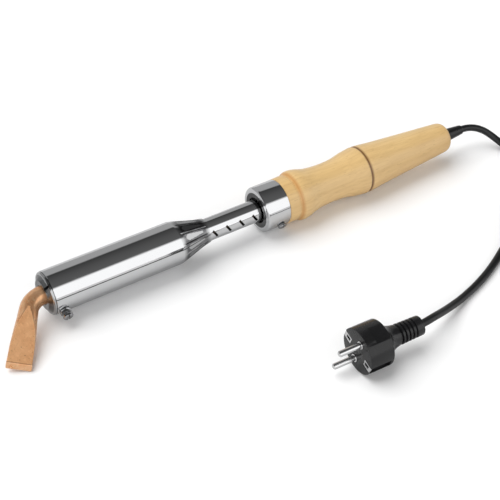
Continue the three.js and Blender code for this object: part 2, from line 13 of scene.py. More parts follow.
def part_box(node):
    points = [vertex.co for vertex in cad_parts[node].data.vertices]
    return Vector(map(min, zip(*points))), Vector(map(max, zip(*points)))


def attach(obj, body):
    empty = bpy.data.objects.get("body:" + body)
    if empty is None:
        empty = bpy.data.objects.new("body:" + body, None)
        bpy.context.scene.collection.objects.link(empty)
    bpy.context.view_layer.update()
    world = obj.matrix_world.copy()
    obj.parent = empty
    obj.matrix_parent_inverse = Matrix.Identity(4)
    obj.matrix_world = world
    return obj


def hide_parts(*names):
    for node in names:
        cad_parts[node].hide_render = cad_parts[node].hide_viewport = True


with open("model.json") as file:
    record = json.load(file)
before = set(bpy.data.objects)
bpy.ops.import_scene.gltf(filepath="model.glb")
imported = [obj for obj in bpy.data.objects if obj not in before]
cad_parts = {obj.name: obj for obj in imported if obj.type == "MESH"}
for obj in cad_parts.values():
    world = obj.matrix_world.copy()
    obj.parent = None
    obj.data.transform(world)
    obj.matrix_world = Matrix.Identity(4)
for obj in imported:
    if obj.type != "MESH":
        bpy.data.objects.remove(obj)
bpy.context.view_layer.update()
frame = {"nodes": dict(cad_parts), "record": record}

MM = 0.001
RAD = math.pi / 180

# ---- where the iron is -----------------------------------------------------------------------------

SHEET_INSET = 0.5  # the barrel's sheet starts this far behind the barrel's front edge
barrel_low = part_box("barrel_shell")[0]
handle_low, handle_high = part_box("handle")
FRONT_X = barrel_low.x - SHEET_INSET * MM
AXIS_Y = (handle_low.y + handle_high.y) / 2
AXIS_Z = (handle_low.z + handle_high.z) / 2
ON_AXIS = Matrix.Translation((FRONT_X, AXIS_Y, AXIS_Z)) @ Matrix.Scale(MM, 4)
ON_TABLE = Matrix.Translation((FRONT_X, AXIS_Y, 0)) @ Matrix.Scale(MM, 4)

# ---- driving dimensions, millimetres ---------------------------------------------------------------

BARREL_R = 18
BARREL_END = 112
NECK_END = 142
BARREL_WALL = 0.8
FLUTES = 12
FLUTE_PHASE = 137 * RAD  # a crimped pad faces this way round the axis
PAD_HIGHLIGHT_START = 118  # each pad has a painted highlight in a bullet shape, with painted shade round it
PAD_HIGHLIGHT_LENGTH = 17
PAD_HIGHLIGHT_WIDTH = 5.2
SEAM_ANGLE = 164 * RAD

BIT_R = 7.5
BIT_BORE_R = 7.9
BIT_TAIL = 97
COLLAR_REACH = 4.2
SLOT_ANGLE = 122 * RAD
BEND_R = 18
BEND_ANGLE = 56 * RAD
BIT_ROLL = 21 * RAD
CHISEL_LENGTH = 49.5
CHISEL_WIDTH = 19.5
CHISEL_THICK = 4.6
END_SLANT = 2.8

CLAMP_X = 6.5
CLAMP_ANGLE = 206 * RAD

STEM_R = 9.5
STEM_WALL = 0.9
STEM_FRONT = 108.3
STEM_END = 224
VENT_X = 146.3
VENT_PITCH = 12.7
VENT_LENGTH = 7.4
VENT_WIDTH = 2
VENTS_IN_ROW = 4
VENT_SLANT = 32 * RAD
VENT_TURN = 7 * RAD

FERRULE_FRONT = 191.6
FERRULE_END = 213.5
FERRULE_R = 19.6
FERRULE_WALL = 1.2
FERRULE_HOLE_R = 11.3
FERRULE_SHADE_R = 15.4
FERRULE_SCREW_X = 205.8
FERRULE_SCREW_ANGLES = (210 * RAD, 330 * RAD)

HANDLE_R = 21.15
BEAD_R = 21.9
HANDLE_FRONT = 199.6
HANDLE_END = 392.5
SCORE_X = 297.3
COVE_X = 224.6
CORD_HOLE_R = 5.6
BORE_R = 12.4

CORD_D = 6.2
SLEEVE_END = 412
CORD_PITCH = CORD_D + 0.1
COIL_R = 5.1 * CORD_D
COIL_CENTRE = Vector((393.6, -151.9))
COIL_BASE = 1.0
COIL_COLUMNS = 3
COIL_LAYERS = 2
COIL_ENTRY = 131.9 * RAD
COIL_TURNS = 5.96
COIL_STEPS = 48  # points in each turn
UPPER_SHIFT = (0.8, 1.0)  # the share of a turn in which the cord moves over to its next seat
LOWER_SHIFT = (0.55, 0.8)

PLUG_R = 18.4
PLUG_FACE = Vector((165.8, -177.2, PLUG_R))
PLUG_HEADING = -2.3 * RAD
PLUG_TURN = math.pi - 71.5 * RAD
PLUG_BODY_END = 20.6
RELIEF_START = 34.5
RELIEF_END = 56
RIBS = 5
RIB_PITCH = 3.3
RIB_ROOT_R = 6.2
PIN_SPACING = 19
PIN_LENGTH = 19
PIN_R = 2.4

# The cord's route outside its coil, listed: x and y as above, z from the table.
UPPER_ROUTE = (
    (412.3, 0, 21.9),
    (418.2, -0.2, 21.3),
    (423.6, -1, 20.3),
    (429.1, -2.7, 18.6),
    (434.6, -5.6, 16),
    (439, -9.5, 12.8),
    (442.7, -15, 9.2),
    (445.2, -21.4, 6.5),
    (446.5, -28.8, 4.5),
    (446, -37, 3.4),
    (443, -46.5, 3.2),
    (438, -56, 3.2),
    (430.6, -66, 3.3),
    (420.5, -76.6, 4),
    (409, -87, 5.6),
    (397.5, -97.5, 7.8),
    (386, -107.8, 9.9),
)
LOWER_ROUTE = (
    (355, -129.4, 3.7),
    (346, -134.3, 3.2),
    (336, -139.8, 3.1),
    (324, -145.9, 3.1),
    (311.7, -151.3, 3.1),
    (300, -155.7, 3.1),
    (288.4, -159.5, 3.5),
    (277.2, -163.3, 4.9),
    (266.6, -167, 7.4),
    (256, -170.8, 10.6),
    (246, -174.3, 14),
    (237.6, -177, 16.7),
    (230, -178.8, 18.1),
    (222.9, -179.49, 18.4),
)

# ---- the camera, the floor and the light -----------------------------------------------------------

CAMERA_AZIMUTH = -32.57 * RAD
CAMERA_ELEVATION = 40 * RAD
CAMERA_DISTANCE = 1.0183
CAMERA_TARGET = ON_TABLE @ Vector((172.9, -19.5, 1))
CAMERA_LENS = 88.56
FLOOR_TONE = 0.96
FLOOR_PAINTED_IN_REFLECTIONS = 0.56  # painted reflection: glossy rays see the table greyer than the camera does


def make_camera():
    camera = bpy.data.objects.new("camera", bpy.data.cameras.new("camera"))
    bpy.context.collection.objects.link(camera)
    back = Vector((
        math.sin(CAMERA_AZIMUTH) * math.cos(CAMERA_ELEVATION),
        -math.cos(CAMERA_AZIMUTH) * math.cos(CAMERA_ELEVATION),
        math.sin(CAMERA_ELEVATION),
    ))
    camera.location = CAMERA_TARGET + back * CAMERA_DISTANCE
    camera.rotation_euler = (-back).to_track_quat("-Z", "Y").to_euler()
    camera.data.lens = CAMERA_LENS
    camera.data.sensor_width = 36
    camera.data.clip_start = 0.01
    bpy.context.scene.camera = camera


def make_floor():
    size = 6
    bm = bmesh.new()
    corners = [bm.verts.new((x * size, y * size, 0)) for x, y in ((-1, -1), (1, -1), (1, 1), (-1, 1))]
    bm.faces.new(corners)
    mesh = bpy.data.meshes.new("floor")
    bm.to_mesh(mesh)
    bm.free()
    floor = bpy.data.objects.new("floor", mesh)
    bpy.context.collection.objects.link(floor)
    paper = bpy.data.materials.new("floor_paper")
    paper.use_nodes = True
    shader = paper.node_tree.nodes["Principled BSDF"]
    shader.inputs["Roughness"].default_value = 1
    shader.inputs["Specular IOR Level"].default_value = 0
    # Painted reflection: the floor is greyer to glossy rays than to the camera.
    path = paper.node_tree.nodes.new("ShaderNodeLightPath")
    tone = paper.node_tree.nodes.new("ShaderNodeMix")
    tone.data_type = "RGBA"
    tone.inputs[6].default_value = (*[FLOOR_TONE] * 3, 1)
    tone.inputs[7].default_value = (*[FLOOR_PAINTED_IN_REFLECTIONS] * 3, 1)
    paper.node_tree.links.new(path.outputs["Is Glossy Ray"], tone.inputs[0])
    paper.node_tree.links.new(tone.outputs[2], shader.inputs["Base Color"])
    mesh.materials.append(paper)


# The studio round the iron's axis: degrees up from the horizon in front, and the light from there.
STUDIO_BANDS = (
    (-180, 0.36),
    (-90, 0.8),
    (-1, 1.0),
    (1, 1.12),
    (47, 1.12),
    (56, 0.11),
    (90, 0.085),
    (126, 0.045),
    (131, 0.36),
    (180, 0.38),
)
BACKDROP = 0.95


def make_studio():
    """A bright screen in front, dark above and mid grey behind, with the camera itself seeing pale."""
    world = bpy.data.worlds.new("studio")
    bpy.context.scene.world = world
    world.use_nodes = True
    tree = world.node_tree
    background = tree.nodes["Background"]
    place = tree.nodes.new("ShaderNodeTexCoord")
    split = tree.nodes.new("ShaderNodeSeparateXYZ")
    flip = tree.nodes.new("ShaderNodeMath")
    flip.operation = "MULTIPLY"
    flip.inputs[1].default_value = -1
    angle = tree.nodes.new("ShaderNodeMath")
    angle.operation = "ARCTAN2"
    share = tree.nodes.new("ShaderNodeMath")
    share.operation = "MULTIPLY_ADD"
    share.inputs[1].default_value = 1 / (2 * math.pi)
    share.inputs[2].default_value = 0.5
    bands = tree.nodes.new("ShaderNodeValToRGB")
    elements = bands.color_ramp.elements
    while len(elements) < len(STUDIO_BANDS):
        elements.new(0.5)
    for element, (degrees, light) in zip(elements, STUDIO_BANDS):
        element.position = (degrees + 180) / 360
        element.color = (light, light, light, 1)
    path = tree.nodes.new("ShaderNodeLightPath")
    seen = tree.nodes.new("ShaderNodeMix")
    seen.data_type = "RGBA"
    seen.inputs[7].default_value = (BACKDROP, BACKDROP, BACKDROP, 1)
    tree.links.new(place.outputs["Generated"], split.inputs[0])
    tree.links.new(split.outputs["Y"], flip.inputs[0])
    tree.links.new(split.outputs["Z"], angle.inputs[0])
    tree.links.new(flip.outputs[0], angle.inputs[1])
    tree.links.new(angle.outputs[0], share.inputs[0])
    tree.links.new(share.outputs[0], bands.inputs[0])
    tree.links.new(path.outputs["Is Camera Ray"], seen.inputs[0])
    tree.links.new(bands.outputs[0], seen.inputs[6])
    tree.links.new(seen.outputs[2], background.inputs["Color"])


def make_sun(name, azimuth, elevation, strength, softness):
    """A wide soft light that isn't seen as a spot in the polished metal."""
    light = bpy.data.lights.new(name, "SUN")
    light.energy = strength
    light.angle = softness * RAD
    lamp = bpy.data.objects.new(name, light)
    bpy.context.collection.objects.link(lamp)
    a, e = azimuth * RAD, elevation * RAD
    back = Vector((math.sin(a) * math.cos(e), -math.cos(a) * math.cos(e), math.sin(e)))
    lamp.rotation_euler = (-back).to_track_quat("-Z", "Y").to_euler()
    lamp.visible_glossy = False


make_camera()
make_floor()
make_studio()
make_sun("top_light", azimuth=-150, elevation=62, strength=2.6, softness=60)
make_sun("side_light", azimuth=-60, elevation=45, strength=0.35, softness=60)
bpy.context.scene.view_settings.view_transform = "Standard"

# ---- materials -------------------------------------------------------------------------------------


class Paint:
    """Builds one material's nodes. Textures are placed by the object's own coordinates, in metres."""

    def __init__(self, name, color, metallic=0.0, roughness=0.5, **sockets):
        self.material = bpy.data.materials.new(name)
        self.material.use_nodes = True
        self.tree = self.material.node_tree
        self.shader = self.tree.nodes["Principled BSDF"]
        self.shader.inputs["Base Color"].default_value = (*color, 1)
        self.shader.inputs["Metallic"].default_value = metallic
        self.shader.inputs["Roughness"].default_value = roughness
        for socket, value in sockets.items():
            self.shader.inputs[socket.replace("_", " ")].default_value = value
        self.place = self.tree.nodes.new("ShaderNodeTexCoord").outputs["Object"]

    def link(self, output, node, socket):
        self.tree.links.new(output, node.inputs[socket])

    def stretched(self, scale, turn=(0, 0, 0)):
        """Object coordinates scaled by axis: a small number draws the texture out along that axis."""
        mapping = self.tree.nodes.new("ShaderNodeMapping")
        mapping.inputs["Scale"].default_value = scale
        mapping.inputs["Rotation"].default_value = turn
        self.link(self.place, mapping, "Vector")
        return mapping.outputs[0]

    def noise(self, scale, detail=3, roughness=0.5, place=None, distortion=0.0):
        texture = self.tree.nodes.new("ShaderNodeTexNoise")
        texture.inputs["Scale"].default_value = scale
        texture.inputs["Detail"].default_value = detail
        texture.inputs["Roughness"].default_value = roughness
        texture.inputs["Distortion"].default_value = distortion
        self.link(place or self.place, texture, "Vector")
        return texture.outputs["Fac"]

    def ramp(self, value, low, high, start=0.0, end=1.0):
        """Spreads value from low..high to start..end, cut off at both ends."""
        node = self.tree.nodes.new("ShaderNodeMapRange")
        node.inputs["From Min"].default_value = low
        node.inputs["From Max"].default_value = high
        node.inputs["To Min"].default_value = start
        node.inputs["To Max"].default_value = end
        self.link(value, node, "Value")
        return node.outputs[0]

    def math(self, operation, first, second):
        node = self.tree.nodes.new("ShaderNodeMath")
        node.operation = operation
        for socket, value in enumerate((first, second)):
            if isinstance(value, (int, float)):
                node.inputs[socket].default_value = value
            else:
                self.link(value, node, socket)
        return node.outputs[0]

    def mix(self, share, first, second):
        """first where share is 0 and second where it is 1; each is a colour or an output."""
        node = self.tree.nodes.new("ShaderNodeMix")
        node.data_type = "RGBA"
        self.link(share, node, 0)
        for socket, value in ((6, first), (7, second)):
            if isinstance(value, tuple):
                node.inputs[socket].default_value = (*value, 1)
            else:
                self.link(value, node, socket)
        return node.outputs[2]

    def near(self, axis, middle, reach):
        """1 at a place along an axis, in metres, falling to 0 at reach from it."""
        split = self.tree.nodes.new("ShaderNodeSeparateXYZ")
        self.link(self.place, split, 0)
        away = self.math("ABSOLUTE", self.math("SUBTRACT", split.outputs[axis], middle), 0)
        return self.ramp(away, 0, reach, 1, 0)

    def color(self, output):
        self.link(output, self.shader, "Base Color")
        return self

    def rough(self, output):
        self.link(output, self.shader, "Roughness")
        return self

    def bump(self, output, depth, strength=1.0):
        node = self.tree.nodes.new("ShaderNodeBump")
        node.inputs["Distance"].default_value = depth * MM
        node.inputs["Strength"].default_value = strength
        self.link(output, node, "Height")
        self.link(node.outputs[0], self.shader, "Normal")
        return self


CHROME_COLOR = (0.84, 0.845, 0.855)


def chrome(name, color=CHROME_COLOR, smudge=0.05):
    """Bright plating: nearly a mirror, with faint smudges and hairline polishing marks along X."""
    paint = Paint(name, color, metallic=1.0)
    smudges = paint.noise(55, detail=4)
    marks = paint.noise(900, detail=2, place=paint.stretched((0.02, 1, 1)))
    paint.rough(paint.ramp(smudges, 0.42, 0.75, smudge, smudge + 0.09))
    return paint.bump(marks, 0.004, 0.35).material


def neck_painted_shade_finish():
    """The barrel's plating with painted shade on the crimped neck: darker streaked metal there, fading out at
    both its ends.
    """
    paint = Paint("neck_chrome_painted_shade", (0.2, 0.2, 0.205), metallic=1.0, roughness=0.1)
    middle, reach = (BARREL_END + NECK_END) / 2, (NECK_END - BARREL_END) / 2
    near = paint.near("X", FRONT_X + middle * MM, reach * MM)
    streaks = paint.noise(500, detail=3, place=paint.stretched((0.15, 1, 1)))
    # dull: the darker streaked colour of the painted shade on the neck
    dull = paint.mix(paint.ramp(streaks, 0.4, 0.7), (0.15, 0.15, 0.155), (0.3, 0.3, 0.305))
    paint.color(paint.mix(paint.ramp(near, 0, 0.3), CHROME_COLOR, dull))
    return paint.bump(streaks, 0.02, 0.4).material


def steel(name, color, low, high):
    """Turned or stamped steel with uneven dull patches and fine scratches."""
    paint = Paint(name, color, metallic=1.0)
    patches = paint.noise(240, detail=4)
    dull = tuple(c * 0.55 for c in color)
    paint.color(paint.mix(paint.ramp(patches, 0.45, 0.7), color, dull))
    paint.rough(paint.ramp(patches, 0.3, 0.7, low, high))
    return paint.bump(paint.noise(1800, detail=2), 0.015, 0.5).material


def copper_finish(name, metallic, bright, dull, low, high):
    """Forged copper: satin, with soft clouds of oxide, drawn grain and dark specks."""
    paint = Paint(name, bright, metallic=metallic)
    cloud = paint.noise(110, detail=5, roughness=0.6)
    grain = paint.noise(620, detail=3, place=paint.stretched((1, 0.3, 1)))
    specks = paint.noise(800, detail=2)
    base = paint.mix(paint.ramp(cloud, 0.35, 0.66), bright, dull)
    base = paint.mix(paint.ramp(grain, 0.5, 0.75, 0, 0.55), base, tuple(min(1, c * 1.25) for c in bright))
    base = paint.mix(paint.ramp(specks, 0.64, 0.7, 0, 0.55), base, (0.34, 0.14, 0.06))
    paint.color(base)
    paint.rough(paint.ramp(cloud, 0.3, 0.75, low, high))
    return paint.bump(paint.math("ADD", grain, cloud), 0.07, 0.7).material


def wood_finish():
    """Pale lacquered hardwood turned along X: fibres, short pores, broad figure, and burnt grooves."""
    paint = Paint("handle_wood", (0.72, 0.5, 0.24), Coat_Weight=0.55, Coat_Roughness=0.16)
    figure = paint.noise(26, detail=3, place=paint.stretched((0.28, 1, 1)), distortion=0.6)
    fibres = paint.noise(420, detail=4, roughness=0.6, place=paint.stretched((0.045, 1, 1)))
    pores = paint.noise(1500, detail=1, place=paint.stretched((0.06, 1, 1)))
    base = paint.mix(paint.ramp(figure, 0.3, 0.72), (0.78, 0.545, 0.25), (0.67, 0.425, 0.17))
    base = paint.mix(paint.ramp(fibres, 0.4, 0.72, 0, 0.45), base, (0.56, 0.345, 0.14))
    base = paint.mix(paint.ramp(pores, 0.66, 0.74, 0, 0.5), base, (0.42, 0.24, 0.09))
    dark, orange = (0.13, 0.045, 0.01), (0.5, 0.2, 0.035)
    for middle, reach, depth, burnt in ((SCORE_X + 0.3, 2, 1, dark), (COVE_X + 1, 2.4, 0.7, orange)):
        near = paint.math("MULTIPLY", paint.near("X", FRONT_X + middle * MM, reach * MM), depth)
        base = paint.mix(near, base, burnt)
    paint.color(base)
    paint.rough(paint.ramp(fibres, 0.3, 0.75, 0.36, 0.5))
    return paint.bump(paint.math("ADD", fibres, pores), 0.02, 0.5).material


def rubber_finish(name, color, low, high, bump_scale):
    paint = Paint(name, color, Specular_IOR_Level=0.5)
    cloud = paint.noise(70, detail=4)
    paint.color(paint.mix(paint.ramp(cloud, 0.35, 0.7), color, tuple(c * 1.5 for c in color)))
    paint.rough(paint.ramp(cloud, 0.3, 0.7, low, high))
    return paint.bump(paint.noise(bump_scale, detail=2), 0.03, 0.5).material


def speckled(name, color, other, scale, roughness, depth=0.03):
    """A dull material with a two-tone mottle, for the pieces inside."""
    paint = Paint(name, color)
    mottle = paint.noise(scale, detail=4)
    paint.color(paint.mix(paint.ramp(mottle, 0.35, 0.65), color, other))
    paint.rough(paint.ramp(mottle, 0.3, 0.7, roughness, roughness + 0.15))
    return paint.bump(mottle, depth, 0.6).material


CHROME = chrome("chrome")
NECK_PAINTED_SHADE = neck_painted_shade_finish()
# A dimmed copy of the chrome, as painted shade: on the mouth ring's rim and the neck's pads.
CHROME_PAINTED_SHADE = chrome("chrome_painted_shade", (0.55, 0.555, 0.56))
# Dark steel for the barrel's seam line, and as painted shade in the mouth ring's slot.
SEAM_AND_SLOT_SHADE = steel("seam_line_and_slot_shade", (0.09, 0.09, 0.09), 0.4, 0.55)
FERRULE_SHADE = chrome("ferrule_shade", (0.1, 0.1, 0.1), 0.12)
RING_STEEL = steel("ring_steel", (0.22, 0.222, 0.225), 0.1, 0.22)
SCREW_STEEL = steel("screw_steel", (0.5, 0.5, 0.51), 0.06, 0.16)
# Heat-tinted steel made dark as painted shade, for the stem's inside.
HEAT_TINT_AND_SHADE_STEEL = steel("heat_tint_and_painted_shade", (0.1, 0.095, 0.09), 0.4, 0.6)
PIN_CHROME = chrome("pin_chrome", (0.86, 0.86, 0.865), 0.1)
COPPER = copper_finish("copper", 0.72, (1.0, 0.6, 0.34), (0.8, 0.38, 0.17), 0.18, 0.3)
COPPER_FLAT = copper_finish("copper_flat", 0.4, (0.86, 0.475, 0.235), (0.72, 0.36, 0.165), 0.36, 0.52)
WOOD = wood_finish()
CORD_RUBBER = rubber_finish("cord_rubber", (0.007, 0.007, 0.0075), 0.26, 0.38, 2600)
PLUG_PLASTIC = rubber_finish("plug_plastic", (0.009, 0.009, 0.0095), 0.2, 0.32, 1900)
TIE_PLASTIC = rubber_finish("tie_plastic", (0.03, 0.03, 0.032), 0.4, 0.55, 1500)
INSIDE = {
    "core_steel": steel("core_steel", (0.45, 0.44, 0.43), 0.3, 0.5),
    "mica": speckled("mica", (0.5, 0.42, 0.3), (0.36, 0.29, 0.2), 300, 0.3),
    "nichrome": steel("nichrome", (0.3, 0.28, 0.27), 0.4, 0.6),
    "glass_fibre": speckled("glass_fibre", (0.8, 0.78, 0.72), (0.66, 0.63, 0.56), 900, 0.75, 0.1),
    "lead_insulation": speckled("lead_insulation", (0.12, 0.09, 0.06), (0.08, 0.06, 0.04), 1200, 0.6, 0.06),
    "brass": steel("brass", (0.76, 0.56, 0.26), 0.25, 0.42),
    "ceramic": speckled("ceramic", (0.83, 0.8, 0.72), (0.76, 0.72, 0.63), 200, 0.35),
}

# ---- mesh helpers ----------------------------------------------------------------------------------


def dress_inside():
    """The CAD nodes inside the iron stay, with the finish of their own material slot."""
    finishes = {"wood": WOOD, "screw_steel": SCREW_STEEL, "cord_rubber": CORD_RUBBER, **INSIDE}
    slots = {part["node"]: part["material_slot"] for part in frame["record"]["subparts"]}
    for name, node in frame["nodes"].items():
        if not node.hide_render:
            node.data.materials.clear()
            node.data.materials.append(finishes[slots[name]])


def make_piece(name, bm, body, finish, stands_for=(), place=ON_AXIS, sharp=32, finishes=()):
    """Turns a bmesh in millimetres into a shaded piece that rides on a CAD body."""
    bmesh.ops.remove_doubles(bm, verts=bm.verts, dist=1e-4)
    bmesh.ops.recalc_face_normals(bm, faces=bm.faces)
    bm.transform(place)
    mesh = bpy.data.meshes.new(name)
    bm.to_mesh(mesh)
    bm.free()
    for entry in (finish, *finishes):
        mesh.materials.append(entry)
    piece = bpy.data.objects.new(name, mesh)
    bpy.context.collection.objects.link(piece)
    shade(piece, sharp)
    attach(piece, body)
    if stands_for:
        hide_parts(*stands_for)
    return piece


def shade(piece, sharp):
    piece.data.polygons.foreach_set("use_smooth", [True] * len(piece.data.polygons))
    piece.data.set_sharp_from_angle(angle=sharp * RAD)


def apply_modifiers(piece):
    """Bakes the piece's modifiers into its mesh."""
    graph = bpy.context.evaluated_depsgraph_get()
    graph.update()
    mesh = bpy.data.meshes.new_from_object(piece.evaluated_get(graph))
    piece.modifiers.clear()
    piece.data = mesh


def bevel(piece, width, segments=2, angle=35):
    modifier = piece.modifiers.new("edges", "BEVEL")
    modifier.width = width * MM
    modifier.segments = segments
    modifier.limit_method = "ANGLE"
    modifier.angle_limit = angle * RAD
    modifier.harden_normals = False
    apply_modifiers(piece)


def combine(piece, solids, operation):
    """Takes solids out of a piece or adds them to it: bmeshes in millimetres, each with its place."""
    for bm, place in solids:
        bmesh.ops.recalc_face_normals(bm, faces=bm.faces)
        bm.transform(place)
        mesh = bpy.data.meshes.new("tool")
        bm.to_mesh(mesh)
        bm.free()
        tool = bpy.data.objects.new("tool", mesh)
        bpy.context.collection.objects.link(tool)
        modifier = piece.modifiers.new("combine", "BOOLEAN")
        modifier.operation = operation
        modifier.solver = "EXACT"
        modifier.object = tool
        apply_modifiers(piece)
        bpy.data.objects.remove(tool)
        bpy.data.meshes.remove(mesh)


def carve(piece, cutters, sharp=32):
    combine(piece, cutters, "DIFFERENCE")
    shade(piece, sharp)


def skin(bm, rings, close_ends=True, closed_loop=False):
    """Joins rings of equal length with quads."""
    rows = [[bm.verts.new(p) for p in ring] for ring in rings]
    pairs = list(zip(rows, rows[1:]))
    if closed_loop:
        pairs.append((rows[-1], rows[0]))
    for low, high in pairs:
        for k in range(len(low)):
            after = (k + 1) % len(low)
            bm.faces.new((low[k], low[after], high[after], high[k]))
    if close_ends and not closed_loop:
        bm.faces.new(rows[0])
        bm.faces.new(list(reversed(rows[-1])))
    return rows


def soften(outline, radius, steps=4, keep=()):
    """Rounds each corner of a closed outline of (x, r) with a small curve."""
    points = []
    for i, point in enumerate(outline):
        here = Vector(point)
        before = Vector(outline[i - 1]) - here
        after = Vector(outline[(i + 1) % len(outline)]) - here
        turn = before.angle(after) if before.length and after.length else math.pi
        if i in keep or turn > math.pi - 0.06:
            points.append(here)
            continue
        reach = min(radius, before.length * 0.45, after.length * 0.45)
        start = here + before.normalized() * reach
        end = here + after.normalized() * reach
        for k in range(steps + 1):
            t = k / steps
            points.append(start * (1 - t) ** 2 + here * 2 * t * (1 - t) + end * t * t)
    return [(p.x, p.y) for p in points]


def turned(outline, sides=96):
    """A closed outline of (x, r), turned about X. Points on the axis become the pole."""
    bm = bmesh.new()
    columns = []
    for k in range(sides):
        angle = 2 * math.pi * k / sides
        columns.append([(x, r * math.cos(angle), r * math.sin(angle)) for x, r in outline])
    poles = {i: bm.verts.new((x, 0, 0)) for i, (x, r) in enumerate(outline) if r < 1e-6}
    rows = [[poles.get(i) or bm.verts.new(p) for i, p in enumerate(column)] for column in columns]
    for k in range(sides):
        one, two = rows[k], rows[(k + 1) % sides]
        for i in range(len(outline)):
            after = (i + 1) % len(outline)
            corners = []
            for vert in (one[i], one[after], two[after], two[i]):
                if vert not in corners:
                    corners.append(vert)
            if len(corners) > 2:
                bm.faces.new(corners)
    return bm


def block(length, width, height, x=0.0, y=0.0, z=0.0):
    bm = bmesh.new()
    bmesh.ops.create_cube(bm, size=1)
    bm.transform(Matrix.Translation((x, y, z)) @ Matrix.Diagonal((length, width, height, 1)))
    return bm


def rod(x0, x1, radius, sides=48):
    return turned([(x0, 0), (x0, radius), (x1, radius), (x1, 0)], sides)


def outward(angle, x):
    """Where a shape made along X points straight out of the iron at an angle round its axis."""
    return (
        Matrix.Translation((x, 0, 0))
        @ Matrix.Rotation(angle - math.pi / 2, 4, "X")
        @ Matrix.Rotation(-math.pi / 2, 4, "Y")
    )


def ease(t):
    t = min(1.0, max(0.0, t))
    return t * t * (3 - 2 * t)


def between(p, q, start, end, t):
    return (p * (end - t) + q * (t - start)) / (end - start)


def spline(points, per_step=8):
    """Points along a smooth curve through a list of points, by centripetal Catmull-Rom."""
    points = [Vector(p) for p in points]
    padded = [points[0] * 2 - points[1], *points, points[-1] * 2 - points[-2]]
    out = []
    for p0, p1, p2, p3 in zip(padded, padded[1:], padded[2:], padded[3:]):
        t1 = (p1 - p0).length ** 0.5
        t2 = t1 + (p2 - p1).length ** 0.5
        t3 = t2 + (p3 - p2).length ** 0.5
        for k in range(per_step):
            t = t1 + (t2 - t1) * k / per_step
            a1, a2, a3 = between(p0, p1, 0, t1, t), between(p1, p2, t1, t2, t), between(p2, p3, t2, t3, t)
            out.append(between(between(a1, a2, 0, t2, t), between(a2, a3, t1, t3, t), t1, t2, t))
    out.append(points[-1])
    return out


# ---- the cord, its tie and its plug ----------------------------------------------------------------


def coil_turns():
    """The wound part of the cord: three turns inwards on the upper layer, then three outwards below."""
    upper, lower = COIL_BASE + 1.5 * CORD_PITCH, COIL_BASE + 0.5 * CORD_PITCH
    seats = [(1, upper), (0, upper), (-1, upper), (-1, lower), (0, lower), (1, lower)]
    points = []
    for k in range(round(COIL_TURNS * COIL_STEPS) + 1):
        turn = min(k / COIL_STEPS, COIL_TURNS)
        i = min(int(turn), len(seats) - 1)
        shift_start, shift_end = UPPER_SHIFT if i < COIL_COLUMNS else LOWER_SHIFT
        share = ease((turn - i - shift_start) / (shift_end - shift_start))
        column, height = seats[i]
        if i + 1 < len(seats):
            column += (seats[i + 1][0] - column) * share
            height += (seats[i + 1][1] - height) * share
        radius = COIL_R + column * CORD_PITCH
        angle = COIL_ENTRY + turn * 2 * math.pi
        middle = COIL_CENTRE + Vector((math.cos(angle), math.sin(angle))) * radius
        points.append(Vector((middle.x, middle.y, height)))
    return points


def make_cord(plug_pieces):
    wound = coil_turns()
    route = spline(UPPER_ROUTE + (wound[0],), 6) + wound[1:-1] + spline((wound[-1],) + LOWER_ROUTE, 6)
    curve = bpy.data.curves.new("mains_cord", "CURVE")
    curve.dimensions = "3D"
    curve.bevel_depth = CORD_D / 2 * MM
    curve.bevel_resolution = 6
    curve.use_fill_caps = True
    line = curve.splines.new("POLY")
    line.points.add(len(route) - 1)
    for point, place in zip(line.points, route):
        point.co = (*(ON_TABLE @ place), 1)
    line.use_smooth = True
    curve.materials.append(CORD_RUBBER)
    cord = bpy.data.objects.new("mains_cord", curve)
    bpy.context.collection.objects.link(cord)
    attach(cord, "iron")
    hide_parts("mains_cord_handle_run", "cord_coil", "mains_cord_plug_run")


def rounded_box_loop(width, height, radius, steps=6):
    """Points of a rectangle with round corners, as (across, up) round its own middle."""
    points = []
    corners = ((1, 1, 0), (-1, 1, 90), (-1, -1, 180), (1, -1, 270))
    for side, rise, start in corners:
        for k in range(steps + 1):
            angle = (start + 90 * k / steps) * RAD
            points.append((
                side * (width / 2 - radius) + radius * math.cos(angle),
                rise * (height / 2 - radius) + radius * math.sin(angle),
            ))
    return points


def make_tie():
    """A flat band round the coil's section."""
    thick = 0.7
    width = COIL_COLUMNS * CORD_PITCH + 1.2
    height = COIL_LAYERS * CORD_PITCH + 0.6
    band = 4.6
    inner = rounded_box_loop(width, height, 2.9)
    outer = rounded_box_loop(width + 2 * thick, height + 2 * thick, 2.9 + thick)
    rows = []
    for x, loop in ((-band / 2, inner), (-band / 2, outer), (band / 2, outer), (band / 2, inner)):
        rows.append([Vector((x, across, up)) for across, up in loop])
    bm = bmesh.new()
    skin(bm, rows, close_ends=False, closed_loop=True)
    seat = Matrix.Rotation(35 * RAD, 4, "Z") @ Matrix.Translation((0, -COIL_R, height / 2 + thick))
    place = ON_TABLE @ Matrix.Translation((*COIL_CENTRE, 0)) @ seat
    tie = make_piece("cord_tie_band", bm, "iron", TIE_PLASTIC, ["cord_tie"], place)
    bevel(tie, 0.2)
    shade(tie, 40)
    return tie


def plug_place():
    return (
        Matrix.Translation((FRONT_X, AXIS_Y, 0))
        @ Matrix.Scale(MM, 4)
        @ Matrix.Translation(PLUG_FACE)
        @ Matrix.Rotation(PLUG_HEADING, 4, "Z")
        @ Matrix.Rotation(PLUG_TURN, 4, "X")
    )


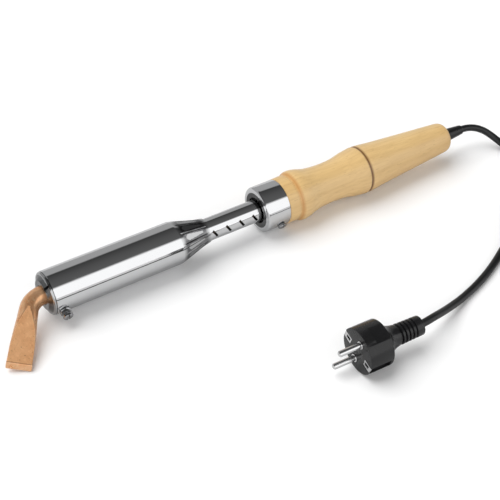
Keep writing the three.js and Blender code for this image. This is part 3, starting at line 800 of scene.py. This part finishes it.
def plug_outline():
    shoulder = []
    for k in range(11):
        t = k / 10
        start, bend, end = (
            Vector((PLUG_BODY_END, PLUG_R - 0.5)),
            Vector((PLUG_BODY_END + 3.2, 9.4)),
            Vector((RELIEF_START, 8.2)),
        )
        point = start * (1 - t) ** 2 + bend * 2 * t * (1 - t) + end * t * t
        shoulder.append((point.x, point.y))
    ribs = []
    for i in range(RIBS):
        x = RELIEF_START + 0.6 + i * RIB_PITCH
        crest = 8.3 - 0.1 * i
        ribs += [(x, RIB_ROOT_R), (x + 1, RIB_ROOT_R), (x + 1.3, crest), (x + 2.9, crest)]
    front = [(0, 0), (0, PLUG_R), (PLUG_BODY_END - 0.4, PLUG_R)]
    return [*front, *shoulder, *ribs, (RELIEF_END, 7.7), (RELIEF_END, 0)]


def make_plug():
    """The moulded plug, its pins and its earth clips."""
    place = plug_place()
    outline = soften(plug_outline(), 0.35, 3)
    body = make_piece(
        "plug_moulding", turned(outline, 112), "iron", PLUG_PLASTIC, ["plug_body"], place
    )
    cutters = []
    for side in (1, -1):
        across = side * PIN_SPACING / 2
        cutters.append((rod(-1, 1.3, PIN_R + 1.2, 32), place @ Matrix.Translation((0, across, 0))))
        cutters.append((block(19, 6.6, 5.2, 8.4, 0, side * (PLUG_R - 1.9)), place))
        cutters.append((block(3, 6.6, 9.6, 0, 0, side * (PLUG_R - 4.6)), place))
        cutters.append((block(14, 4, 17, 15.2, side * (PLUG_R + 0.6), 0), place))
    carve(body, cutters)
    bevel(body, 0.25)
    shade(body, 40)
    pieces = [body]
    for i, side in enumerate((1, -1)):
        pieces.append(make_pin(f"plug_pin_{i + 1}", side, place))
        pieces.append(make_clip(f"plug_earth_clip_{i + 1}", side, place))
    return pieces


def make_pin(node, side, place):
    outline = [
        (-PIN_LENGTH, 0),
        (-PIN_LENGTH, PIN_R - 0.8),
        (-PIN_LENGTH + 0.9, PIN_R),
        (-0.6, PIN_R),
        (-0.6, PIN_R + 0.9),
        (1, PIN_R + 0.9),
        (1, PIN_R),
        (6.6, PIN_R),
        (6.6, 0),
    ]
    shifted = place @ Matrix.Translation((0, side * PIN_SPACING / 2, 0))
    pin = turned(soften(outline, 0.25, 3, keep=(0, len(outline) - 1)), 48)
    return make_piece(f"{node}_turned", pin, "iron", PIN_CHROME, [node], shifted)


def make_clip(node, side, place):
    """A sprung strip along the rim, hooked over the face, with a slot punched in the hook."""
    turn = place @ Matrix.Rotation(0 if side > 0 else math.pi, 4, "X")
    strip = block(16.6, 5.4, 1, 8.2, 0, PLUG_R - 3)
    clip = make_piece(f"{node}_strip", strip, "iron", PIN_CHROME, [node], turn)
    combine(clip, [(block(1.2, 6, 8.4, 0.5, 0, PLUG_R - 4.9), turn)], "UNION")
    carve(clip, [(block(3, 3, 4.6, 0.5, 0, PLUG_R - 5.6), turn)])
    bevel(clip, 0.18)
    shade(clip, 40)
    return clip


# ---- the bit ---------------------------------------------------------------------------------------


def interpolate(table, x):
    for (x0, y0), (x1, y1) in zip(table, table[1:]):
        if x <= x1:
            return y0 + (y1 - y0) * max(0.0, (x - x0) / (x1 - x0))
    return table[-1][1]


def bit_section(bar, flat):
    """A round bar with two flats at flat from its middle: points as (across, up).
    There is a corner at each flat's edge."""
    corner = min(math.asin(min(1.0, flat / bar)), 82 * RAD)
    spans = ((-corner, corner, 12), (corner, math.pi - corner, 12))
    points = []
    for half in (0, math.pi):
        for start, end, steps in spans:
            for k in range(steps):
                angle = half + start + (end - start) * k / steps
                up = bar * math.sin(angle)
                points.append((bar * math.cos(angle), max(-flat, min(flat, up))))
    return points


def chisel_flats():
    """How far the flats are from the chisel's middle, as (along, away).
    They have a pointed start, then a long slope."""
    half = CHISEL_THICK / 2
    knee = 0.66 * CHISEL_LENGTH
    start, out, back, end = (-1, BIT_R + 0.1), (12, BIT_R - 0.1), (19, half + 1.8), (knee, half + 0.9)
    flats = []
    for k in range(33):
        t = k / 32
        weights = ((1 - t) ** 3, 3 * t * (1 - t) ** 2, 3 * t * t * (1 - t), t**3)
        corners = list(zip(weights, (start, out, back, end)))
        flats.append(tuple(sum(w * p[axis] for w, p in corners) for axis in (0, 1)))
    return [*flats, (CHISEL_LENGTH, half)]


def make_bit():
    """The copper bit: a round shank, its bend, and the forged chisel, with a slightly uneven surface."""
    bar_table = [(0, BIT_R), (8, 7.9), (18, 8.7), (30, 9.4), (CHISEL_LENGTH, CHISEL_WIDTH / 2)]
    stations = []
    for x in (BIT_TAIL, BIT_TAIL - 0.8, 60, 30, 15, 8, 4, 0, -COLLAR_REACH):
        radius = BIT_R - (0.8 if x == BIT_TAIL else 0)
        stations.append((Vector((x, 0, 0)), 0.0, radius, BIT_R + 1))
    arc_steps = 26
    for k in range(1, arc_steps + 1):
        turn = BEND_ANGLE * k / arc_steps
        middle = Vector((-COLLAR_REACH - BEND_R * math.sin(turn), -BEND_R * (1 - math.cos(turn)), 0))
        stations.append((middle, turn, BIT_R, BIT_R + 1))
    end, turn = stations[-1][:2]
    heading = Vector((-math.cos(turn), -math.sin(turn), 0))
    flats = chisel_flats()
    chisel_steps = 64
    for k in range(1, chisel_steps + 1):
        along = CHISEL_LENGTH * k / chisel_steps
        bar, flat = interpolate(bar_table, along), interpolate(flats, along)
        stations.append((end + heading * along, turn, bar, flat))
    rings = []
    for middle, turn, bar, flat in stations:
        across = Vector((math.sin(turn), -math.cos(turn), 0))
        forward = Vector((-math.cos(turn), -math.sin(turn), 0))
        over = max(0.0, ((middle - end).dot(heading) - CHISEL_LENGTH + 6) / 6)
        ring = []
        for a, b in bit_section(bar, flat):
            back = END_SLANT * over * (b / CHISEL_THICK + 0.5)
            ring.append(middle + across * a + Vector((0, 0, b)) - forward * back)
        rings.append(ring)
    bm = bmesh.new()
    skin(bm, rings)
    for face in bm.faces:
        middle = face.calc_center_median()
        along = (middle - end).dot(heading)
        if along > 0 and abs(middle.z) > interpolate(flats, along) - 0.12:
            face.material_index = 1
    for vert in bm.verts:
        if vert.co.x < 0:
            push = noise.noise(vert.co * 0.16) * 0.16 + noise.noise(vert.co * 0.5) * 0.05
            vert.co.z += push
    bm.transform(Matrix.Rotation(BIT_ROLL, 4, "X"))
    bit = make_piece(
        "copper_bit", bm, "bit", COPPER, ["soldering_bit"], sharp=50, finishes=(COPPER_FLAT,)
    )
    bevel(bit, 0.3, angle=42)
    shade(bit, 50)


# ---- the barrel and its front ----------------------------------------------------------------------


def make_barrel():
    """The chromed sheet: a straight tube with a lengthwise seam, its rear crimped in pads onto the stem."""
    neck_r = STEM_R + 0.9
    angles = sorted(
        [2 * math.pi * (k + 0.25) / 360 for k in range(360)]
        + [SEAM_ANGLE + offset * RAD for offset in (-1.1, -0.98, 0.98, 1.1)]
    )
    stations = [SHEET_INSET, SHEET_INSET + 0.25, 2, 10, 40, 70, 100, 108, 110, 111]
    stations += [BARREL_END + (NECK_END - BARREL_END) * k / 60 for k in range(61)]

    def outer(x, angle):
        along = min(1.0, max(0.0, (x - BARREL_END) / (NECK_END - BARREL_END)))
        part = 0.65 * along + 0.35 * ease(along)
        radius = BARREL_R + (neck_r - BARREL_R) * part
        if x <= SHEET_INSET:
            radius -= 0.2
        pad = (angle - FLUTE_PHASE) * FLUTES / (2 * math.pi)
        away = (pad - round(pad)) * 2 * math.pi / FLUTES
        facet = math.cos(math.pi / FLUTES) / math.cos(away)
        radius *= 1 + (facet - 1) * ease(along * 4) * ease((1 - along) * 3)
        crease = max(0.0, 1 - abs(abs(away) - math.pi / FLUTES) / (3.2 * RAD))
        radius *= 1 - 0.055 * crease**1.5 * ease(along * 5) * ease((1 - along) * 4)
        if abs(angle - SEAM_ANGLE) < 1 * RAD and x > SHEET_INSET:
            radius -= 0.45
        return radius

    rings = []
    for x in stations:
        rings.append([(x, outer(x, a) * math.cos(a), outer(x, a) * math.sin(a)) for a in angles])
    for x in reversed(stations):
        inner = [max(outer(x, a) - BARREL_WALL, STEM_R + 0.3) for a in angles]
        rings.append([(x, r * math.cos(a), r * math.sin(a)) for r, a in zip(inner, angles)])
    bm = bmesh.new()
    skin(bm, rings, close_ends=False, closed_loop=True)
    finishes = (NECK_PAINTED_SHADE, SEAM_AND_SLOT_SHADE, CHROME_PAINTED_SHADE)
    crimped, seam, pad_painted_highlight = 1, 2, 3
    barrel = make_piece("barrel_sheet", bm, "iron", CHROME, ["barrel_shell"], finishes=finishes)
    hole = ON_AXIS @ outward(CLAMP_ANGLE, CLAMP_X)
    carve(barrel, [(rod(BARREL_R - 4, BARREL_R + 4, 3.2), hole)], 30)
    for face in barrel.data.polygons:
        middle = face.center
        x = (middle.x - FRONT_X) / MM
        y, z = middle.y - AXIS_Y, middle.z - AXIS_Z
        angle = math.atan2(z, y) % (2 * math.pi)
        if abs(angle - SEAM_ANGLE) < 1 * RAD and x > SHEET_INSET:
            face.material_index = seam
        # The neck's faces get the painted shade, except for the painted highlight on each pad.
        elif x > BARREL_END:
            away = math.remainder(angle - FLUTE_PHASE, 2 * math.pi / FLUTES)
            across = abs(away) * math.hypot(y, z) / MM
            # A bullet-shaped painted highlight on each pad, in the dimmed chrome.
            along = (x - PAD_HIGHLIGHT_START) / PAD_HIGHLIGHT_LENGTH
            reach = PAD_HIGHLIGHT_WIDTH / 2 * min(1.0, (max(0.0, along) * 8) ** 0.5) * (1.05 - 0.75 * along)
            face.material_index = crimped if along < 0 or along > 1 or across > reach else pad_painted_highlight


def make_front_ring():
    """The slotted ring in the barrel's mouth: a rim of chrome dimmed as painted shade, dark cone and a short
    collar round the bit, with painted shade in the slot.
    """
    skirt = BARREL_R - BARREL_WALL - 0.3
    outline = [
        (-COLLAR_REACH, BIT_BORE_R),
        (-COLLAR_REACH, 12.3),
        (-COLLAR_REACH + 0.6, 12.9),
        (-1.6, 15.6),
        (-1.9, 16.6),
        (-0.9, 17.6),
        (0.2, 17.6),
        (0.2, skirt),
        (13, skirt),
        (13, BIT_BORE_R),
    ]
    outline = soften(outline, 0.55, 4)
    ring = make_piece(
        "mouth_ring",
        turned(outline, 144),
        "iron",
        RING_STEEL,
        ["front_retaining_ring"],
        finishes=(CHROME_PAINTED_SHADE, SEAM_AND_SLOT_SHADE),
    )
    slot_turn = ON_AXIS @ Matrix.Rotation(SLOT_ANGLE, 4, "X")
    cutters = [(block(4.4, 9, 2.2, -COLLAR_REACH + 1, side * 15.7), slot_turn) for side in (1, -1)]
    cutters.append((rod(BIT_BORE_R - 2, BARREL_R + 2, 2.8), ON_AXIS @ outward(CLAMP_ANGLE, CLAMP_X)))
    carve(ring, cutters)
    for face in ring.data.polygons:
        middle = ON_AXIS.inverted() @ face.center
        out = math.hypot(middle.y, middle.z)
        aside = middle.z * math.cos(SLOT_ANGLE) - middle.y * math.sin(SLOT_ANGLE)
        # The slot's faces: painted shade in the slot.
        if abs(aside) < 1.15 and out > 11.1 and middle.x < 0.1:
            face.material_index = 2
        # The rim's faces: chrome dimmed as painted shade.
        elif out > 15.9 and middle.x < 0.3:
            face.material_index = 1


def slotted_screw(name, node, body, tip, top, shank_r, head_r, head_height, slot_width, place):
    """A screw with a low domed head and a cut slot."""
    outline = [
        (tip, 0),
        (tip, shank_r * 0.7),
        (tip + shank_r * 0.4, shank_r),
        (top - head_height, shank_r),
        (top - head_height, head_r),
        (top - head_height * 0.35, head_r),
        (top, head_r * 0.72),
        (top, 0),
    ]
    outline = soften(outline, 0.4, 4, keep=(0, len(outline) - 1))
    screw = make_piece(name, turned(outline, 56), body, SCREW_STEEL, [node], place)
    carve(screw, [(block(head_height * 0.9, head_r * 3, slot_width, top), place)])


def make_clamp():
    place = ON_AXIS @ outward(CLAMP_ANGLE, CLAMP_X)
    slotted_screw(
        "clamp_screw_cut",
        "bit_clamp_screw",
        "clamp_screw",
        tip=BIT_R + 0.4,
        top=BARREL_R + 7.6,
        shank_r=2.3,
        head_r=4.1,
        head_height=3,
        slot_width=1.1,
        place=place,
    )
    low, high = BARREL_R + 0.3, BARREL_R + 3.4
    nut = make_piece(
        "clamp_nut_hex",
        rod(low, high, 4.6, sides=6),
        "iron",
        SCREW_STEEL,
        ["clamp_screw_nut"],
        place,
    )
    carve(nut, [(rod(low - 2, high + 2, 2.6), place)])
    bevel(nut, 0.3)
    shade(nut, 35)


# ---- the stem and the ferrule ----------------------------------------------------------------------


def make_stem():
    inner = STEM_R - STEM_WALL
    outline = soften([(STEM_FRONT, inner), (STEM_FRONT, STEM_R), (STEM_END, STEM_R), (STEM_END, inner)], 0.2)
    stem = make_piece(
        "stem_pipe", turned(outline, 128), "iron", CHROME, ["stem_tube"], finishes=(HEAT_TINT_AND_SHADE_STEEL,)
    )
    cutters = []
    for side in (1, -1):
        for i in range(VENTS_IN_ROW):
            x = VENT_X + VENT_PITCH * i
            turn = Matrix.Rotation(-VENT_TURN, 4, "X")
            seat = Matrix.Translation((x, side * STEM_R, 0)) @ Matrix.Rotation(side * VENT_SLANT, 4, "Y")
            cutters.append((block(VENT_WIDTH, 5, VENT_LENGTH), ON_AXIS @ turn @ seat))
    carve(stem, cutters)
    # The tube's inside faces: heat tint, and painted shade inside the tube.
    for face in stem.data.polygons:
        middle = face.center
        if Vector((middle.y - AXIS_Y, middle.z - AXIS_Z)).length < (STEM_R - 0.12) * MM:
            face.material_index = 1


def make_ferrule():
    """A chromed cup round the handle's spigot, its front edge rolled over to a flat face round the stem."""
    edge = 2.5
    arc = []
    for k in range(9):
        angle = (180 - 90 * k / 8) * RAD
        arc.append((FERRULE_FRONT + edge + edge * math.cos(angle), FERRULE_R - edge + edge * math.sin(angle)))
    outline = [
        (FERRULE_FRONT, FERRULE_HOLE_R),
        (FERRULE_FRONT, FERRULE_SHADE_R),
        *arc,
        (FERRULE_END, FERRULE_R),
        (FERRULE_END, FERRULE_R - FERRULE_WALL),
        (FERRULE_FRONT + edge, FERRULE_R - FERRULE_WALL),
        (FERRULE_FRONT + FERRULE_WALL, FERRULE_R - edge),
        (FERRULE_FRONT + FERRULE_WALL, FERRULE_HOLE_R),
    ]
    outline = soften(outline, 0.35, 3)
    ferrule = make_piece(
        "ferrule_cup", turned(outline, 144), "iron", CHROME, ["ferrule"], finishes=(FERRULE_SHADE,)
    )
    screw_places = [ON_AXIS @ outward(angle, FERRULE_SCREW_X) for angle in FERRULE_SCREW_ANGLES]
    carve(ferrule, [(rod(14, 24, 2), place) for place in screw_places])
    for face in ferrule.data.polygons:
        out = math.hypot(face.center.y - AXIS_Y, face.center.z - AXIS_Z) / MM
        if out < FERRULE_SHADE_R:
            face.material_index = 1
    for i, place in enumerate(screw_places):
        name = f"ferrule_screw_{i + 1}"
        slotted_screw(
            f"{name}_cut",
            name,
            "iron",
            tip=13.6,
            top=FERRULE_R + 2.7,
            shank_r=1.7,
            head_r=3.7,
            head_height=2.2,
            slot_width=0.9,
            place=place,
        )


# ---- the handle ------------------------------------------------------------------------------------


def handle_outline():
    """The turned outline: spigot, collar, bead, waist, belly with its scored line, and a long taper."""
    spigot = FERRULE_R - FERRULE_WALL - 0.3
    waist = spline(
        [
            (236.6, 20.9, 0),
            (243.5, 18.9, 0),
            (252, 17.7, 0),
            (264, 17.25, 0),
            (275, 17.9, 0),
            (285, 19.8, 0),
            (295.8, HANDLE_R, 0),
        ],
        5,
    )
    front = [(HANDLE_FRONT, spigot), (FERRULE_END + 0.3, spigot), (FERRULE_END + 0.3, 19.7), (222.6, 20)]
    bead = [(224, 19.4), (225.4, 20.4), (227.4, BEAD_R - 0.3), (230, BEAD_R), (233.4, BEAD_R - 0.3)]
    score = [(SCORE_X, HANDLE_R - 1.1), (SCORE_X + 1.5, HANDLE_R - 0.1)]
    taper = [(306, 20.4), (316, 19.3), (386, 13.6)]
    nose = []
    for k in range(9):
        angle = (80 - 70 * k / 8) * RAD
        nose.append((386.7 + 5.8 * math.cos(angle), 7.6 + 5.8 * math.sin(angle)))
    bore_end = 300
    bore = [(bore_end, CORD_HOLE_R), (bore_end, BORE_R), (HANDLE_FRONT, BORE_R)]
    rear = [(HANDLE_END, 7.4), (HANDLE_END, CORD_HOLE_R), *bore]
    return [*front, *bead, *[(p.x, p.y) for p in waist], *score, *taper, *nose, *rear]


def make_handle():
    outline = soften(handle_outline(), 0.7, 3)
    handle = make_piece("turned_handle", turned(outline, 160), "iron", WOOD, ["handle"], sharp=38)
    places = [ON_AXIS @ outward(angle, FERRULE_SCREW_X) for angle in FERRULE_SCREW_ANGLES]
    carve(handle, [(rod(11, 24, 2), place) for place in places], 38)


def make_sleeve():
    inner = CORD_D / 2 + 0.3
    outline = [
        (374, inner),
        (374, CORD_HOLE_R - 0.3),
        (HANDLE_END + 0.3, CORD_HOLE_R - 0.3),
        (HANDLE_END + 0.3, 6.2),
        (HANDLE_END + 2, 6.2),
        (HANDLE_END + 5, 5.5),
        (SLEEVE_END - 0.6, 4.2),
        (SLEEVE_END, 3.9),
        (SLEEVE_END, inner),
    ]
    outline = soften(outline, 0.5, 3)
    make_piece("bend_sleeve", turned(outline, 64), "iron", CORD_RUBBER, ["cord_sleeve"])


# ---- everything together ---------------------------------------------------------------------------

plug_pieces = make_plug()
make_cord([*plug_pieces, make_tie()])
make_bit()
make_barrel()
make_front_ring()
make_clamp()
make_stem()
make_ferrule()
make_handle()
make_sleeve()
dress_inside()
